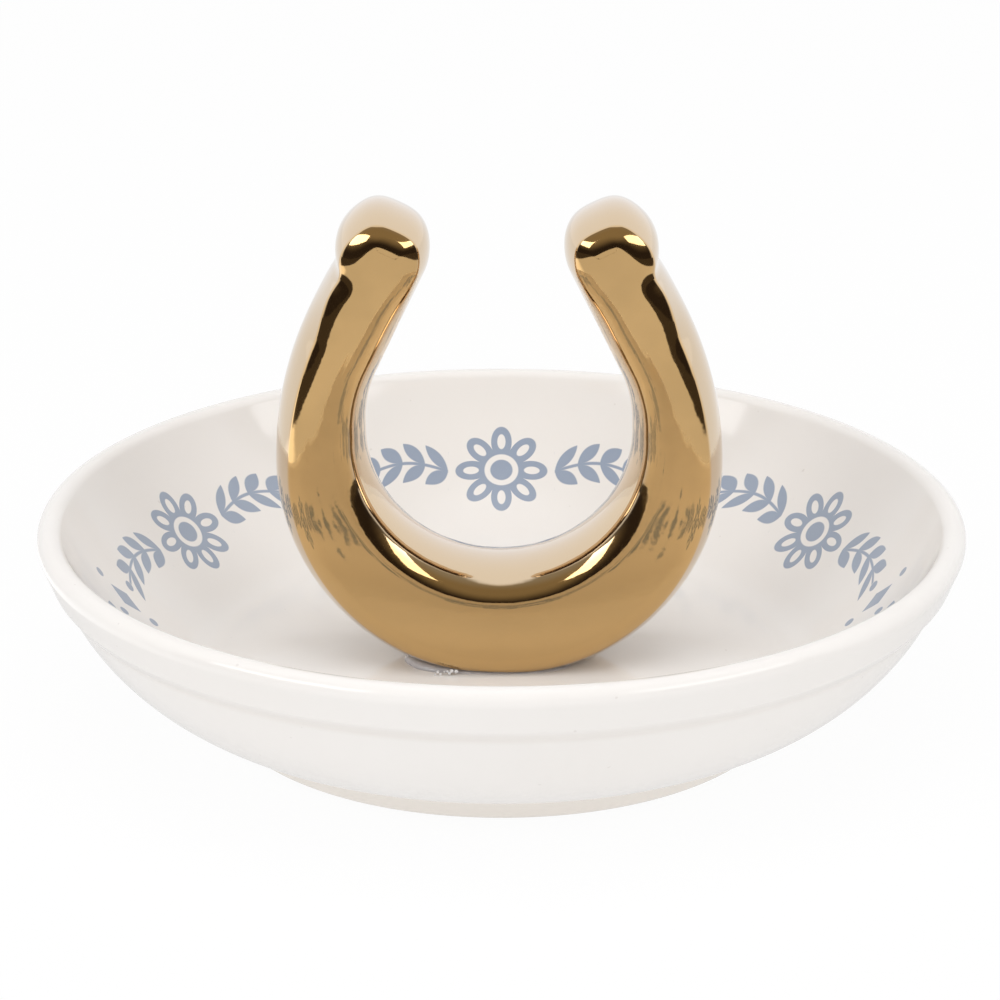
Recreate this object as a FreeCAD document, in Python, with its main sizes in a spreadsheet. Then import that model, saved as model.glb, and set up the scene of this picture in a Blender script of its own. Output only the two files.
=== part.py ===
import FreeCAD, Part
import enum
import math
import os
import types

import Sketcher

# Driving dimensions in millimetres, and angles in degrees. Z is up and the table is at zero.
SIZES = {
    # Dish: lip and rim band
    "dish_radius": 57.5,  # widest circle, round the middle of the lip
    "dish_height": 26.0,  # top of the lip above the table
    "lip_radius": 1.6,  # half-round of the lip
    "band_height": 5.6,  # rim band, from the top of the lip to its lower edge
    "band_draw_in": 1.5,  # lower edge of the band inside the widest circle
    "band_round": 1.5,  # rounding of the band's lower edge
    "step_depth": 1.4,  # wall set back under the band
    "step_drop": 1.5,  # fall of the step from the band to the wall
    "step_round": 2.4,  # hollow rounding between the step and the wall
    # Dish: wall and foot ring
    "wall_radius": 28.7,  # curve of the outside of the wall
    "foot_radius": 36.6,  # outside of the foot ring, where the wall meets it
    "foot_draw_in": 2.0,  # foot ring drawn in from there to the table
    "foot_height": 3.2,  # foot ring under the wall
    "foot_width": 6.2,  # foot ring under the wall, from outside to inside
    "foot_round": 1.9,  # rounding of the foot ring's outer edge
    "foot_inner_round": 1.0,  # rounding of the foot ring's inner edge
    "foot_root_round": 1.2,  # hollow rounding between the foot ring and the wall
    "recess_height": 2.6,  # underside of the floor above the table
    "recess_round": 1.2,  # hollow rounding in the recess inside the foot ring
    # Dish: inside
    "floor_thickness": 4.6,  # floor over the recess
    "floor_overhang": 0.9,  # floor past the outside of the foot ring, to where the wall would meet it
    "floor_round": 9.0,  # hollow rounding of that corner
    "bowl_radius": 45.0,  # curve of the inside of the wall
    # Layer of cement under the horseshoe
    "glue_thickness": 0.4,
    "glue_squeeze": 1.4,  # cement past each end of the horseshoe's foot
    "glue_set_back": 0.2,  # cement short of the horseshoe's front and back faces
    "glue_corner": 6.0,  # round corners of the layer
    # Horseshoe: the two faces
    "shoe_depth": 15.6,  # front face to back face
    "shoe_draft_angle": 8.75,  # lean of the sides, from the middle of the depth to each face
    "shoe_edge_round": 2.5,  # rolled edges of the front and back faces
    # Horseshoe: outline at the middle of its depth
    "bore_radius": 16.4,  # inside of the toe
    "bore_rise": 4.0,  # middle of the inside above the middle of the outside
    "bore_straight": 1.4,  # straight stretch above it, before the branches lean in
    "branch_width": 11.2,  # inside to outside, at the widest place
    "branch_lean_angle": 25.6,  # lean of the branches towards each other, on the inside
    "branch_length": 14.1,  # leaning straight on the inside, up to the heel
    "branch_side_radius": 45.4,  # outside of the branches, from the widest place to the heels
    "heel_radius": 5.75,  # knob at the end of each branch
    "heel_notch_radius": 2.0,  # hollow between the knob and the outside of the branch
    "toe_cut": 2.2,  # what the flat foot takes off the round toe
    # Past the end of each cut
    "overrun": 1.0,
}

SHEET = "Sizes"
SAME = 1e-5  # places nearer than this are the same place


class Spot(enum.IntEnum):
    """The points of an edge that an outline can hold."""

    START = 1
    END = 2
    CENTRE = 3


class Axis(enum.IntEnum):
    """The axes of an outline."""

    LEVEL = -1
    UPRIGHT = -2


class Size:
    """A length or an angle: its value, and the sheet formula that gives it."""

    def __init__(self, value, formula):
        self.value = value
        self.formula = formula

    def __add__(self, other):
        return Size(self.value + other.value, f"{self.formula} + ({other.formula})")

    def __sub__(self, other):
        return Size(self.value - other.value, f"{self.formula} - ({other.formula})")

    def __neg__(self):
        return Size(-self.value, f"-({self.formula})")

    def half(self):
        return Size(self.value / 2, f"({self.formula}) / 2")

    def half_chord(self, distance):
        """Half the chord of a circle of this radius, at that distance from its centre."""
        value = math.sqrt(self.value**2 - distance.value**2)
        return Size(value, f"sqrt(({self.formula})^2 - ({distance.formula})^2)")


size = types.SimpleNamespace(**{name: Size(value, f"{SHEET}.{name}") for name, value in SIZES.items()})
size.floor_height = size.recess_height + size.floor_thickness
size.shoe_radius = size.bore_radius + size.branch_width
size.shoe_centre_height = size.shoe_radius - size.toe_cut
size.bore_height = size.shoe_centre_height + size.bore_rise


def number(coordinate):
    """The plain value of a coordinate, which is a Size, or a number where the edges fix it."""
    return coordinate.value if isinstance(coordinate, Size) else coordinate


class Outline:
    """Draws a closed outline in a sketch with a pen, and ties its points and radii to the sheet.

    A coordinate that is a Size is tied to the sheet, a zero lies on the axis, and any other number
    is only where the edge starts out before its tangents hold it.
    """

    def __init__(self, sketch, start):
        self.sketch = sketch
        self.start = start
        self.at = start
        self.first = None
        self.last = None

    def add(self, *parts, size=None):
        index = self.sketch.addConstraint(Sketcher.Constraint(*parts))
        if size is not None:
            self.sketch.setExpression(f"Constraints[{index}]", size.formula)

    def pin(self, edge, point, place):
        ties = (("DistanceX", Axis.UPRIGHT, place[0]), ("DistanceY", Axis.LEVEL, place[1]))
        for kind, axis, coordinate in ties:
            if isinstance(coordinate, Size):
                self.add(kind, edge, point, coordinate.value, size=coordinate)
            elif coordinate == 0:
                self.add("PointOnObject", edge, point, axis)

    def join(self, edge, begins, ends, place, smooth):
        if self.last is not None:
            self.add("Tangent" if smooth else "Coincident", *self.last, edge, begins)
        self.first = self.first or (edge, begins)
        self.last = (edge, ends)
        self.at = place

    def line_to(self, place, smooth=False, length=None):
        ends = [FreeCAD.Vector(number(p[0]), number(p[1]), 0) for p in (self.at, place)]
        edge = self.sketch.addGeometry(Part.LineSegment(*ends), False)
        self.join(edge, Spot.START, Spot.END, place, smooth)
        if length is not None:
            self.add("Distance", edge, length.value, size=length)

    def arc_to(self, place, centre, radius, clockwise=False, smooth=False, angle=None):
        middle = FreeCAD.Vector(number(centre[0]), number(centre[1]), 0)
        angles = [math.atan2(number(p[1]) - middle.y, number(p[0]) - middle.x) for p in (self.at, place)]
        low, high = reversed(angles) if clockwise else angles
        circle = Part.Circle(middle, FreeCAD.Vector(0, 0, 1), radius.value)
        high += 2 * math.pi * (high <= low)
        edge = self.sketch.addGeometry(Part.ArcOfCircle(circle, low, high), False)
        begins, ends = (Spot.END, Spot.START) if clockwise else (Spot.START, Spot.END)
        self.join(edge, begins, ends, place, smooth)
        self.add("Radius", edge, radius.value, size=radius)
        self.pin(edge, Spot.CENTRE, centre)
        if angle is not None:
            self.add("Angle", edge, math.radians(angle.value), size=angle)

    def corner(self):
        """Ties the point where the pen is to the sheet."""
        self.pin(*self.last, self.at)

    def close(self, smooth=False):
        self.add("Tangent" if smooth else "Coincident", *self.last, *self.first)


def circle_crossing(first, first_radius, second, second_radius, side):
    """Where two circles cross, on the left (side 1) or right (side -1) of the line between their centres."""
    across = [b - a for a, b in zip(first, second)]
    gap = math.hypot(*across)
    along = (first_radius**2 - second_radius**2 + gap**2) / (2 * gap)
    aside = side * math.sqrt(first_radius**2 - along**2)
    ahead = [c / gap for c in across]
    return first[0] + ahead[0] * along - ahead[1] * aside, first[1] + ahead[1] * along + ahead[0] * aside


def towards(start, end, distance):
    """The point at that distance from start in the direction of end."""
    share = distance / math.dist(start, end)
    return tuple(a + (b - a) * share for a, b in zip(start, end))


def plain(point):
    return tuple(number(c) for c in point)


def mirrored(point):
    return -point[0], point[1]


def plane(body, role):
    return next(f for f in body.Origin.OriginFeatures if f.Role == role)


def new_sketch(body, name, role):
    sketch = body.newObject("Sketcher::SketchObject", name)
    sketch.AttachmentSupport = (plane(body, role), [""])
    sketch.MapMode = "FlatFace"
    return sketch


def round_edges(body, name, edges, radius):
    """Rounds edges of the body's last feature."""
    base = body.Tip
    rounding = body.newObject("PartDesign::Fillet", name)
    rounding.Base = (base, edges)
    rounding.setExpression("Radius", radius.formula)
    body.Document.recompute()


def ring_at(body, radius, height):
    """The names of the body's circular edges of that radius round Z at that height."""
    found = []
    for index, edge in enumerate(body.Tip.Shape.Edges, start=1):
        round_edge = isinstance(edge.Curve, Part.Circle)
        if round_edge and math.dist((edge.Curve.Radius, edge.Curve.Center.z), (radius, height)) < SAME:
            found.append(f"Edge{index}")
    return found


def build_dish(doc):
    """The dish: one profile turned about Z, with its corners rounded."""
    body = doc.addObject("PartDesign::Body", "dish_body")
    sketch = new_sketch(body, "DishProfile", "XZ_Plane")

    foot_outside = size.foot_radius - size.foot_draw_in
    foot_inside = size.foot_radius - size.foot_width
    band_edge = (size.dish_radius - size.band_draw_in, size.dish_height - size.band_height)
    wall_top = (band_edge[0] - size.step_depth, band_edge[1] - size.step_drop)
    wall_foot = (size.foot_radius, size.foot_height)
    lip_centre = (size.dish_radius - size.lip_radius, size.dish_height - size.lip_radius)
    floor_corner = (size.foot_radius + size.floor_overhang, size.floor_height)

    wall_centre = circle_crossing(
        plain(wall_foot), size.wall_radius.value, plain(wall_top), size.wall_radius.value, 1
    )
    # The band's side is tangent to the lip, so it leaves it square to the lip's own radius.
    half_way = [(a + b) / 2 for a, b in zip(plain(lip_centre), plain(band_edge))]
    half_span = math.dist(half_way, plain(lip_centre))
    lip_outside = circle_crossing(plain(lip_centre), size.lip_radius.value, half_way, half_span, 1)
    # The inside of the wall curves the other way from the lip and is tangent to it.
    bowl_reach = size.bowl_radius.value + size.lip_radius.value
    bowl_centre = circle_crossing(
        plain(lip_centre), bowl_reach, plain(floor_corner), size.bowl_radius.value, -1
    )
    lip_inside = towards(plain(lip_centre), bowl_centre, size.lip_radius.value)

    pen = Outline(sketch, (0, size.recess_height))
    pen.line_to((foot_inside, size.recess_height))
    pen.pin(*pen.first, pen.start)
    pen.corner()
    pen.line_to((foot_inside, 0))
    pen.corner()
    pen.line_to((foot_outside, 0))
    pen.corner()
    pen.line_to(wall_foot)
    pen.corner()
    pen.arc_to(wall_top, wall_centre, size.wall_radius)
    pen.corner()
    pen.line_to(band_edge)
    pen.corner()
    pen.line_to(lip_outside)
    pen.arc_to(lip_inside, lip_centre, size.lip_radius, smooth=True)
    pen.arc_to(floor_corner, bowl_centre, size.bowl_radius, clockwise=True, smooth=True)
    pen.corner()
    pen.line_to((0, size.floor_height))
    pen.corner()
    pen.line_to(pen.start)
    pen.close()

    turning = body.newObject("PartDesign::Revolution", "DishTurning")
    turning.Profile = sketch
    turning.ReferenceAxis = (sketch, ["V_Axis"])
    doc.recompute()

    corners = (
        ("FloorRound", floor_corner, size.floor_round),
        ("BandRound", band_edge, size.band_round),
        ("StepRound", wall_top, size.step_round),
        ("FootRootRound", wall_foot, size.foot_root_round),
        ("FootRound", (foot_outside, 0), size.foot_round),
        ("FootInnerRound", (foot_inside, 0), size.foot_inner_round),
        ("RecessRound", (foot_inside, size.recess_height), size.recess_round),
    )
    for name, corner, radius in corners:
        round_edges(body, name, ring_at(body, *plain(corner)), radius)
    return body


def draw_horseshoe(sketch):
    """The horseshoe's outline at the middle of its depth: x across, y up from the foot."""
    widest = plain((size.shoe_radius, size.shoe_centre_height))
    toe_centre = (0, size.shoe_centre_height)
    side_centre = ((size.shoe_radius - size.branch_side_radius).value, size.shoe_centre_height)
    bore_low = (0, size.bore_height)
    bore_high = (0, size.bore_height + size.bore_straight)
    bore_top = plain((size.bore_radius, bore_high[1]))
    bore_side = plain((size.bore_radius, bore_low[1]))

    # The leaning straight leaves the bore square to its radius, and the knob lies beyond its other end.
    lean = math.radians(size.branch_lean_angle.value)
    outward = FreeCAD.Vector(math.cos(lean), math.sin(lean))
    upward = FreeCAD.Vector(-outward.y, outward.x)
    bore_end = FreeCAD.Vector(*plain(bore_high)) + outward * size.bore_radius.value
    branch_end = bore_end + upward * size.branch_length.value
    knob = branch_end + outward * size.heel_radius.value
    bore_start, heel_end, heel_centre = [(point.x, point.y) for point in (bore_end, branch_end, knob)]

    side_reach = size.branch_side_radius.value + size.heel_notch_radius.value
    heel_span = size.heel_radius.value + size.heel_notch_radius.value
    notch_centre = circle_crossing(plain(side_centre), side_reach, heel_centre, heel_span, -1)
    side_end = towards(plain(side_centre), notch_centre, size.branch_side_radius.value)
    heel_start = towards(heel_centre, notch_centre, size.heel_radius.value)

    hollow = {"clockwise": True, "smooth": True}
    bore_turn = {"angle": size.branch_lean_angle, **hollow}
    pen = Outline(sketch, mirrored(widest))
    pen.arc_to(widest, toe_centre, size.shoe_radius)
    pen.arc_to(side_end, side_centre, size.branch_side_radius, smooth=True)
    pen.arc_to(heel_start, notch_centre, size.heel_notch_radius, **hollow)
    pen.arc_to(heel_end, heel_centre, size.heel_radius, smooth=True)
    pen.line_to(bore_start, smooth=True, length=size.branch_length)
    pen.arc_to(bore_top, bore_high, size.bore_radius, **bore_turn)
    pen.line_to(bore_side, smooth=True)
    pen.arc_to(mirrored(bore_side), bore_low, size.bore_radius, **hollow)
    pen.line_to(mirrored(bore_top), smooth=True)
    pen.arc_to(mirrored(bore_start), bore_high, size.bore_radius, **bore_turn)
    pen.line_to(mirrored(heel_end), smooth=True, length=size.branch_length)
    pen.arc_to(mirrored(heel_start), mirrored(heel_centre), size.heel_radius, smooth=True)
    pen.arc_to(mirrored(side_end), mirrored(notch_centre), size.heel_notch_radius, **hollow)
    pen.arc_to(pen.start, mirrored(side_centre), size.branch_side_radius, smooth=True)
    pen.close(smooth=True)


def draw_rectangle(sketch, half_length, half_width):
    pen = Outline(sketch, (-half_length, -half_width))
    pen.line_to((half_length, -half_width))
    pen.corner()
    pen.line_to((half_length, half_width))
    pen.corner()
    pen.line_to((-half_length, half_width))
    pen.corner()
    pen.line_to(pen.start)
    pen.corner()
    pen.close()


def build_horseshoe(doc):
    """The horseshoe: its outline drawn out to two drafted faces, with rolled edges and a foot cut flat."""
    body = doc.addObject("PartDesign::Body", "horseshoe_stand")
    outline = new_sketch(body, "HorseshoeOutline", "XZ_Plane")
    draw_horseshoe(outline)

    casting = body.newObject("PartDesign::Pad", "HorseshoeCasting")
    casting.Profile = outline
    casting.SideType = "Two sides"
    for face in ("", "2"):
        casting.setExpression("Length" + face, size.shoe_depth.half().formula)
        casting.setExpression("TaperAngle" + face, (-size.shoe_draft_angle).formula)
    doc.recompute()

    half_depth = size.shoe_depth.value / 2
    rims = []
    for index, edge in enumerate(casting.Shape.Edges, start=1):
        if all(abs(abs(v.Point.y) - half_depth) < SAME for v in edge.Vertexes):
            rims.append(f"Edge{index}")
    round_edges(body, "RolledEdges", rims, size.shoe_edge_round)
    cast_volume = body.Tip.Shape.Volume

    below = new_sketch(body, "FootCutOutline", "XY_Plane")
    draw_rectangle(below, size.shoe_radius + size.overrun, size.shoe_depth.half() + size.overrun)
    foot_cut = body.newObject("PartDesign::Pocket", "FootCut")
    foot_cut.Profile = below
    foot_cut.setExpression("Length", (size.toe_cut + size.overrun).formula)
    doc.recompute()
    if not 0 < body.Tip.Shape.Volume < cast_volume:
        raise RuntimeError("the foot cut took nothing off the horseshoe")

    body.setExpression(".Placement.Base.z", (size.floor_height + size.glue_thickness).formula)
    return body


def build_glue(doc):
    """The cement: a thin flat bed with round corners, a little larger than the horseshoe's foot."""
    body = doc.addObject("PartDesign::Body", "glue_bed")
    sketch = new_sketch(body, "GlueOutline", "XY_Plane")
    foot_reach = size.shoe_radius.half_chord(size.shoe_centre_height)
    draw_rectangle(sketch, foot_reach + size.glue_squeeze, size.shoe_depth.half() - size.glue_set_back)
    bed = body.newObject("PartDesign::Pad", "GlueBed")
    bed.Profile = sketch
    bed.setExpression("Length", size.glue_thickness.formula)
    doc.recompute()
    uprights = []
    for index, edge in enumerate(bed.Shape.Edges, start=1):
        heights = [v.Point.z for v in edge.Vertexes]
        if max(heights) - min(heights) > SAME:
            uprights.append(f"Edge{index}")
    round_edges(body, "GlueCorners", uprights, size.glue_corner)
    body.setExpression(".Placement.Base.z", size.floor_height.formula)
    return body


def check(doc, bodies):
    """Stops if anything in the document failed, or a sub-part is not one sound solid."""
    for thing in doc.Objects:
        if {"Invalid", "Error"} & set(thing.State):
            raise RuntimeError(f"{thing.Name} failed: {thing.State}")
    for body in bodies:
        shape = body.Shape
        if shape.isNull() or not shape.isValid() or len(shape.Solids) != 1:
            raise RuntimeError(f"{body.Label} is not one sound solid")


def main():
    doc = FreeCAD.newDocument("RingDish")
    sheet = doc.addObject("Spreadsheet::Sheet", SHEET)
    for row, (name, value) in enumerate(SIZES.items(), start=1):
        sheet.set(f"A{row}", name)
        sheet.set(f"B{row}", str(value))
        sheet.setAlias(f"B{row}", name)
    doc.recompute()

    bodies = [build_dish(doc), build_glue(doc), build_horseshoe(doc)]
    doc.recompute()
    check(doc, bodies)

    os.makedirs("parts", exist_ok=True)
    for body in bodies:
        body.Shape.exportStep(f"parts/{body.Label}.step")
        box = body.Shape.optimalBoundingBox()
        print(f"{body.Label}: {body.Shape.Volume:.1f} mm3, z {box.ZMin:.2f} to {box.ZMax:.2f}")


main()
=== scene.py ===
"""Dresses the ring dish: a turned and glazed dish, a gilt horseshoe and the cement that holds it."""

import math

import bmesh
import bpy
import numpy as np
from bpy.props import FloatProperty, FloatVectorProperty, IntProperty, PointerProperty
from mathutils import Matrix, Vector


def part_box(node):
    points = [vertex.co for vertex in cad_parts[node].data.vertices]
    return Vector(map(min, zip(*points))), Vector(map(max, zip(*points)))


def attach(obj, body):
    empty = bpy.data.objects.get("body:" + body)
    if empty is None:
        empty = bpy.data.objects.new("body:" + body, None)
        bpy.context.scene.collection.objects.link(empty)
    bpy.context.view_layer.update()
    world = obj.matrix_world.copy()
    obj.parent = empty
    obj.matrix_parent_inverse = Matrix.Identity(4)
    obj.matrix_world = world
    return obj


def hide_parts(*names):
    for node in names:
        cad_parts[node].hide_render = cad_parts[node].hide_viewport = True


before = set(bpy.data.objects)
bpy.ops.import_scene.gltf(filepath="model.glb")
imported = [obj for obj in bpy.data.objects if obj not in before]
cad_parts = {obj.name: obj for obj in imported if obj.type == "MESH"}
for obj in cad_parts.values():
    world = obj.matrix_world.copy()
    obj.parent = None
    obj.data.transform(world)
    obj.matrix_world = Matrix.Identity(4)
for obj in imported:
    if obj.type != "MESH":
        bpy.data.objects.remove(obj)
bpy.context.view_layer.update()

bl_info = {
    "name": "Ring dish",
    "version": (1, 0, 0),
    "blender": (4, 5, 0),
    "location": "View3D > Sidebar > Ring dish",
    "description": "Turns a glazed dish, casts a gilt horseshoe and sets them on a studio floor",
    "category": "Object",
}

DISH_LOW, DISH_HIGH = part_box("dish_body")
SHOE_LOW, SHOE_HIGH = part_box("horseshoe_stand")
CEMENT_LOW, CEMENT_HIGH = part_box("glue_bed")
MERGE_DISTANCE = 1e-6
ROUNDING_STEPS = 12
BEAD_SEED = 5
COAT = "Poured coat"
CEMENT_SHIFT, CEMENT_INSET = 0.0014, 0.0011
MM = 0.001
WHITE = (1.0, 1.0, 1.0)

# Lamps that face the dish, with bearing and rise in degrees, distance and size in metres.
LAMPS = {
    "key_lamp": dict(bearing=-54, rise=32, distance=1.05, size=(0.70, 0.27), radiance=3.4),
    "fill_lamp": dict(bearing=55, rise=32, distance=1.05, size=(0.72, 0.27), radiance=2.7),
    "top_lamp": dict(bearing=0, rise=80, distance=1.05, size=(1.0, 0.8), radiance=1.7, mirrored=False),
    "front_lamp": dict(bearing=0, rise=45, distance=1.3, size=(1.6, 1.0), radiance=0.33, mirrored=False),
}


def length(name, description, default):
    return FloatProperty(name=name, description=description, default=default, unit="LENGTH", precision=5)


def angle(name, description, degrees):
    return FloatProperty(name=name, description=description, default=math.radians(degrees), subtype="ANGLE")


def share(name, description, default):
    return FloatProperty(name=name, description=description, default=default, min=0, max=1, subtype="FACTOR")


def whole(name, description, default, least=1):
    return IntProperty(name=name, description=description, default=default, min=least)


def colour(name, description, default):
    limits = {"min": 0, "max": 1, "subtype": "COLOR"}
    return FloatVectorProperty(name=name, description=description, default=default, **limits)


class DishSizes(bpy.types.PropertyGroup):
    """Profile of the dish, from the lip round the outside to the recess and back inside."""

    radius: length("Radius", "Widest circle, round the middle of the lip", DISH_HIGH.x)
    height: length("Height", "Top of the lip above the table", DISH_HIGH.z)
    lip_radius: length("Lip radius", "Half-round of the lip", 0.0016)
    band_height: length("Band height", "Rim band, from the top of the lip to its lower edge", 0.0056)
    band_draw_in: length("Band draw-in", "Lower edge of the band inside the widest circle", 0.0015)
    band_round: length("Band round", "Rounding of the band's lower edge", 0.0015)
    step_depth: length("Step depth", "Wall set back under the band", 0.0014)
    step_drop: length("Step drop", "Fall of the step from the band to the wall", 0.0015)
    step_round: length("Step round", "Hollow rounding between the step and the wall", 0.0024)
    wall_radius: length("Wall radius", "Curve of the outside of the wall", 0.0287)
    foot_radius: length("Foot radius", "Outside of the foot ring, where the wall meets it", 0.0366)
    foot_draw_in: length("Foot draw-in", "Foot ring drawn in from there to the table", 0.002)
    foot_height: length("Foot height", "Foot ring under the wall", 0.0032)
    foot_width: length("Foot width", "Foot ring under the wall, from outside to inside", 0.0062)
    foot_round: length("Foot round", "Rounding of the foot ring's outer edge", 0.0019)
    foot_inner_round: length("Foot inner round", "Rounding of the foot ring's inner edge", 0.001)
    foot_root_round: length("Foot root round", "Hollow rounding between foot ring and wall", 0.0012)
    recess_height: length("Recess height", "Underside of the floor above the table", 0.0026)
    recess_round: length("Recess round", "Hollow rounding in the recess", 0.0012)
    floor_height: length("Floor height", "Top of the floor above the table", CEMENT_LOW.z)
    floor_overhang: length("Floor overhang", "Floor past the foot ring, to the corner with the wall", 0.0009)
    floor_round: length("Floor round", "Hollow rounding of that corner", 0.009)
    bowl_radius: length("Bowl radius", "Curve of the inside of the wall", 0.045)
    turns: whole("Turns", "Steps round the dish", 288, 24)


class HorseshoeSizes(bpy.types.PropertyGroup):
    """Outline of the horseshoe at the middle of its depth, and the section that runs round it."""

    foot_height: length("Foot height", "Underside of the foot above the table", CEMENT_HIGH.z)
    width: length("Width", "Across the branches at the widest place", SHOE_HIGH.x - SHOE_LOW.x)
    depth: length("Depth", "Front face to back face", SHOE_HIGH.y - SHOE_LOW.y)
    branch_width: length("Branch width", "Inside to outside at the widest place", 0.0112)
    toe_cut: length("Toe cut", "What the flat foot takes off the round toe", 0.0022)
    foot_edge: length("Foot edge", "Softness of the edge round the flat foot", 0.0002)
    foot_dip: length("Foot dip", "Foot lower on the right, where the casting sits nearer the floor", 0.0002)
    dip_start: length("Dip start", "Where the foot begins to dip, right of the middle", -0.006)
    dip_end: length("Dip end", "Where it has dipped in full", 0.002)
    bore_rise: length("Bore rise", "Middle of the inside above the middle of the outside", 0.004)
    bore_straight: length("Bore straight", "Straight stretch above the bore", 0.0014)
    branch_lean: angle("Branch lean", "Lean of the branches towards each other", 25.6)
    branch_length: length("Branch length", "Leaning straight on the inside, up to the heel", 0.0140)
    side_radius: length("Side radius", "Outside of the branches, up to the heels", 0.0454)
    heel_radius: length("Heel radius", "Knob at the end of each branch", 0.00575)
    heel_flat: share("Heel flat", "Flattening of the knob's end, as a share of its radius", 0.04)
    notch_radius: length("Notch radius", "Hollow between the knob and the branch", 0.002)
    outer_tilt: angle("Outer tilt", "Turn of the barrelled outside, from mid-depth to its edge", 30.0)
    heel_tilt: angle("Heel tilt", "The same on the outside of the heels", 10.0)
    inner_tilt: angle("Inner tilt", "The same on the inside and over the heels", 20.0)
    corner_radius: length("Corner radius", "Tight corner between the side and the rolled edge", 0.0008)
    corner_turn: angle("Corner turn", "Turn of the section where the corner ends and the roll begins", 46.0)
    inner_corner_turn: angle("Inner corner turn", "The same along the inside", 22.0)
    outer_roll_radius: length("Outer roll radius", "Rolled edges along the outside", 0.0035)
    inner_roll_radius: length("Inner roll radius", "Rolled edges along the inside", 0.0042)
    heel_roll_radius: length("Heel roll radius", "Rolled edges round the heels", 0.0040)
    crown: share("Crown", "Rise of the faces between their edges, as a share of their width", 0.012)
    fired_lean: length("Fired lean", "Sideways lean of the heels, from the kiln", -0.0006)
    steps: whole("Steps", "Steps from the toe to a heel", 180, 24)


class CementSizes(bpy.types.PropertyGroup):
    """Layer of cement under the foot, its thick end and the beads squeezed out of it."""

    half_length: length("Half length", "Middle to end of the layer", CEMENT_HIGH.x - CEMENT_SHIFT)
    half_width: length("Half width", "Middle to front of the layer", CEMENT_HIGH.y - CEMENT_INSET)
    shift: length("Shift", "Layer pushed to the left", CEMENT_SHIFT)
    thickness: length("Thickness", "Layer between floor and foot", CEMENT_HIGH.z - CEMENT_LOW.z)
    ripple: share("Ripple", "Unevenness of the layer's edge", 0.012)
    wedge_height: length("Wedge height", "Cement piled up under the left end of the toe", 0.0012)
    wedge_bearing: angle("Wedge bearing", "Pile forward of the left end", 20.0535)
    wedge_spread: angle("Wedge spread", "Bearings over which the pile fades", 25.7831)
    bead_gap: length("Bead gap", "Front of the layer to the beads", 0.00015)
    bead_radius: length("Bead radius", "Largest bead of cement", 0.00028)
    beads: whole("Beads", "Beads of cement along the front left edge", 8)
    bead_start: share("Bead start", "First bead, as a share of the half length", 0.52)
    bead_run: share("Bead run", "Row of beads, as a share of the half length", 0.26)
    bead_rise: length("Bead rise", "Height over which the beads are stacked", 0.0004)


class PrintSizes(bpy.types.PropertyGroup):
    """Border of flowers and leaf sprays printed round the inside of the wall."""

    repeats: whole("Repeats", "Flowers round the dish", 6)
    middle_radius: length("Middle radius", "Circle through the middle of the border", 0.0470)
    flower_radius: length("Flower radius", "Middle to petal tip", 0.0062)
    petals: whole("Petals", "Petals of each flower", 8, 3)
    eye_radius: length("Eye radius", "Dot in the middle of each flower", 0.0013)
    spray_start: length("Spray start", "Middle of the flower to the first leaf", 0.0072)
    leaf_pitch: length("Leaf pitch", "Leaf to leaf along the stem", 0.0031)
    leaf_pairs: whole("Leaf pairs", "Pairs of leaves in each spray", 4)
    leaf_length: length("Leaf length", "Stem to leaf tip", 0.0042)
    leaf_width: length("Leaf width", "Half the width of a leaf", 0.00085)
    leaf_lean: angle("Leaf lean", "Leaf away from its stem", 42.0)
    bud_radius: length("Bud radius", "Bud at the end of each spray", 0.00075)
    bud_gap: length("Bud gap", "End of the stem to the middle of the bud", 0.0008)
    stem_width: length("Stem width", "Half the width of a stem", 0.00022)
    stem_rise: length("Stem rise", "Middle of the stem above its ends", 0.0016)
    lozenge: length("Lozenge", "Half the height of the lozenge between two sprays", 0.0027)
    softness: length("Softness", "Blur of the print's edges in the fired glaze", 0.00009)


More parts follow.
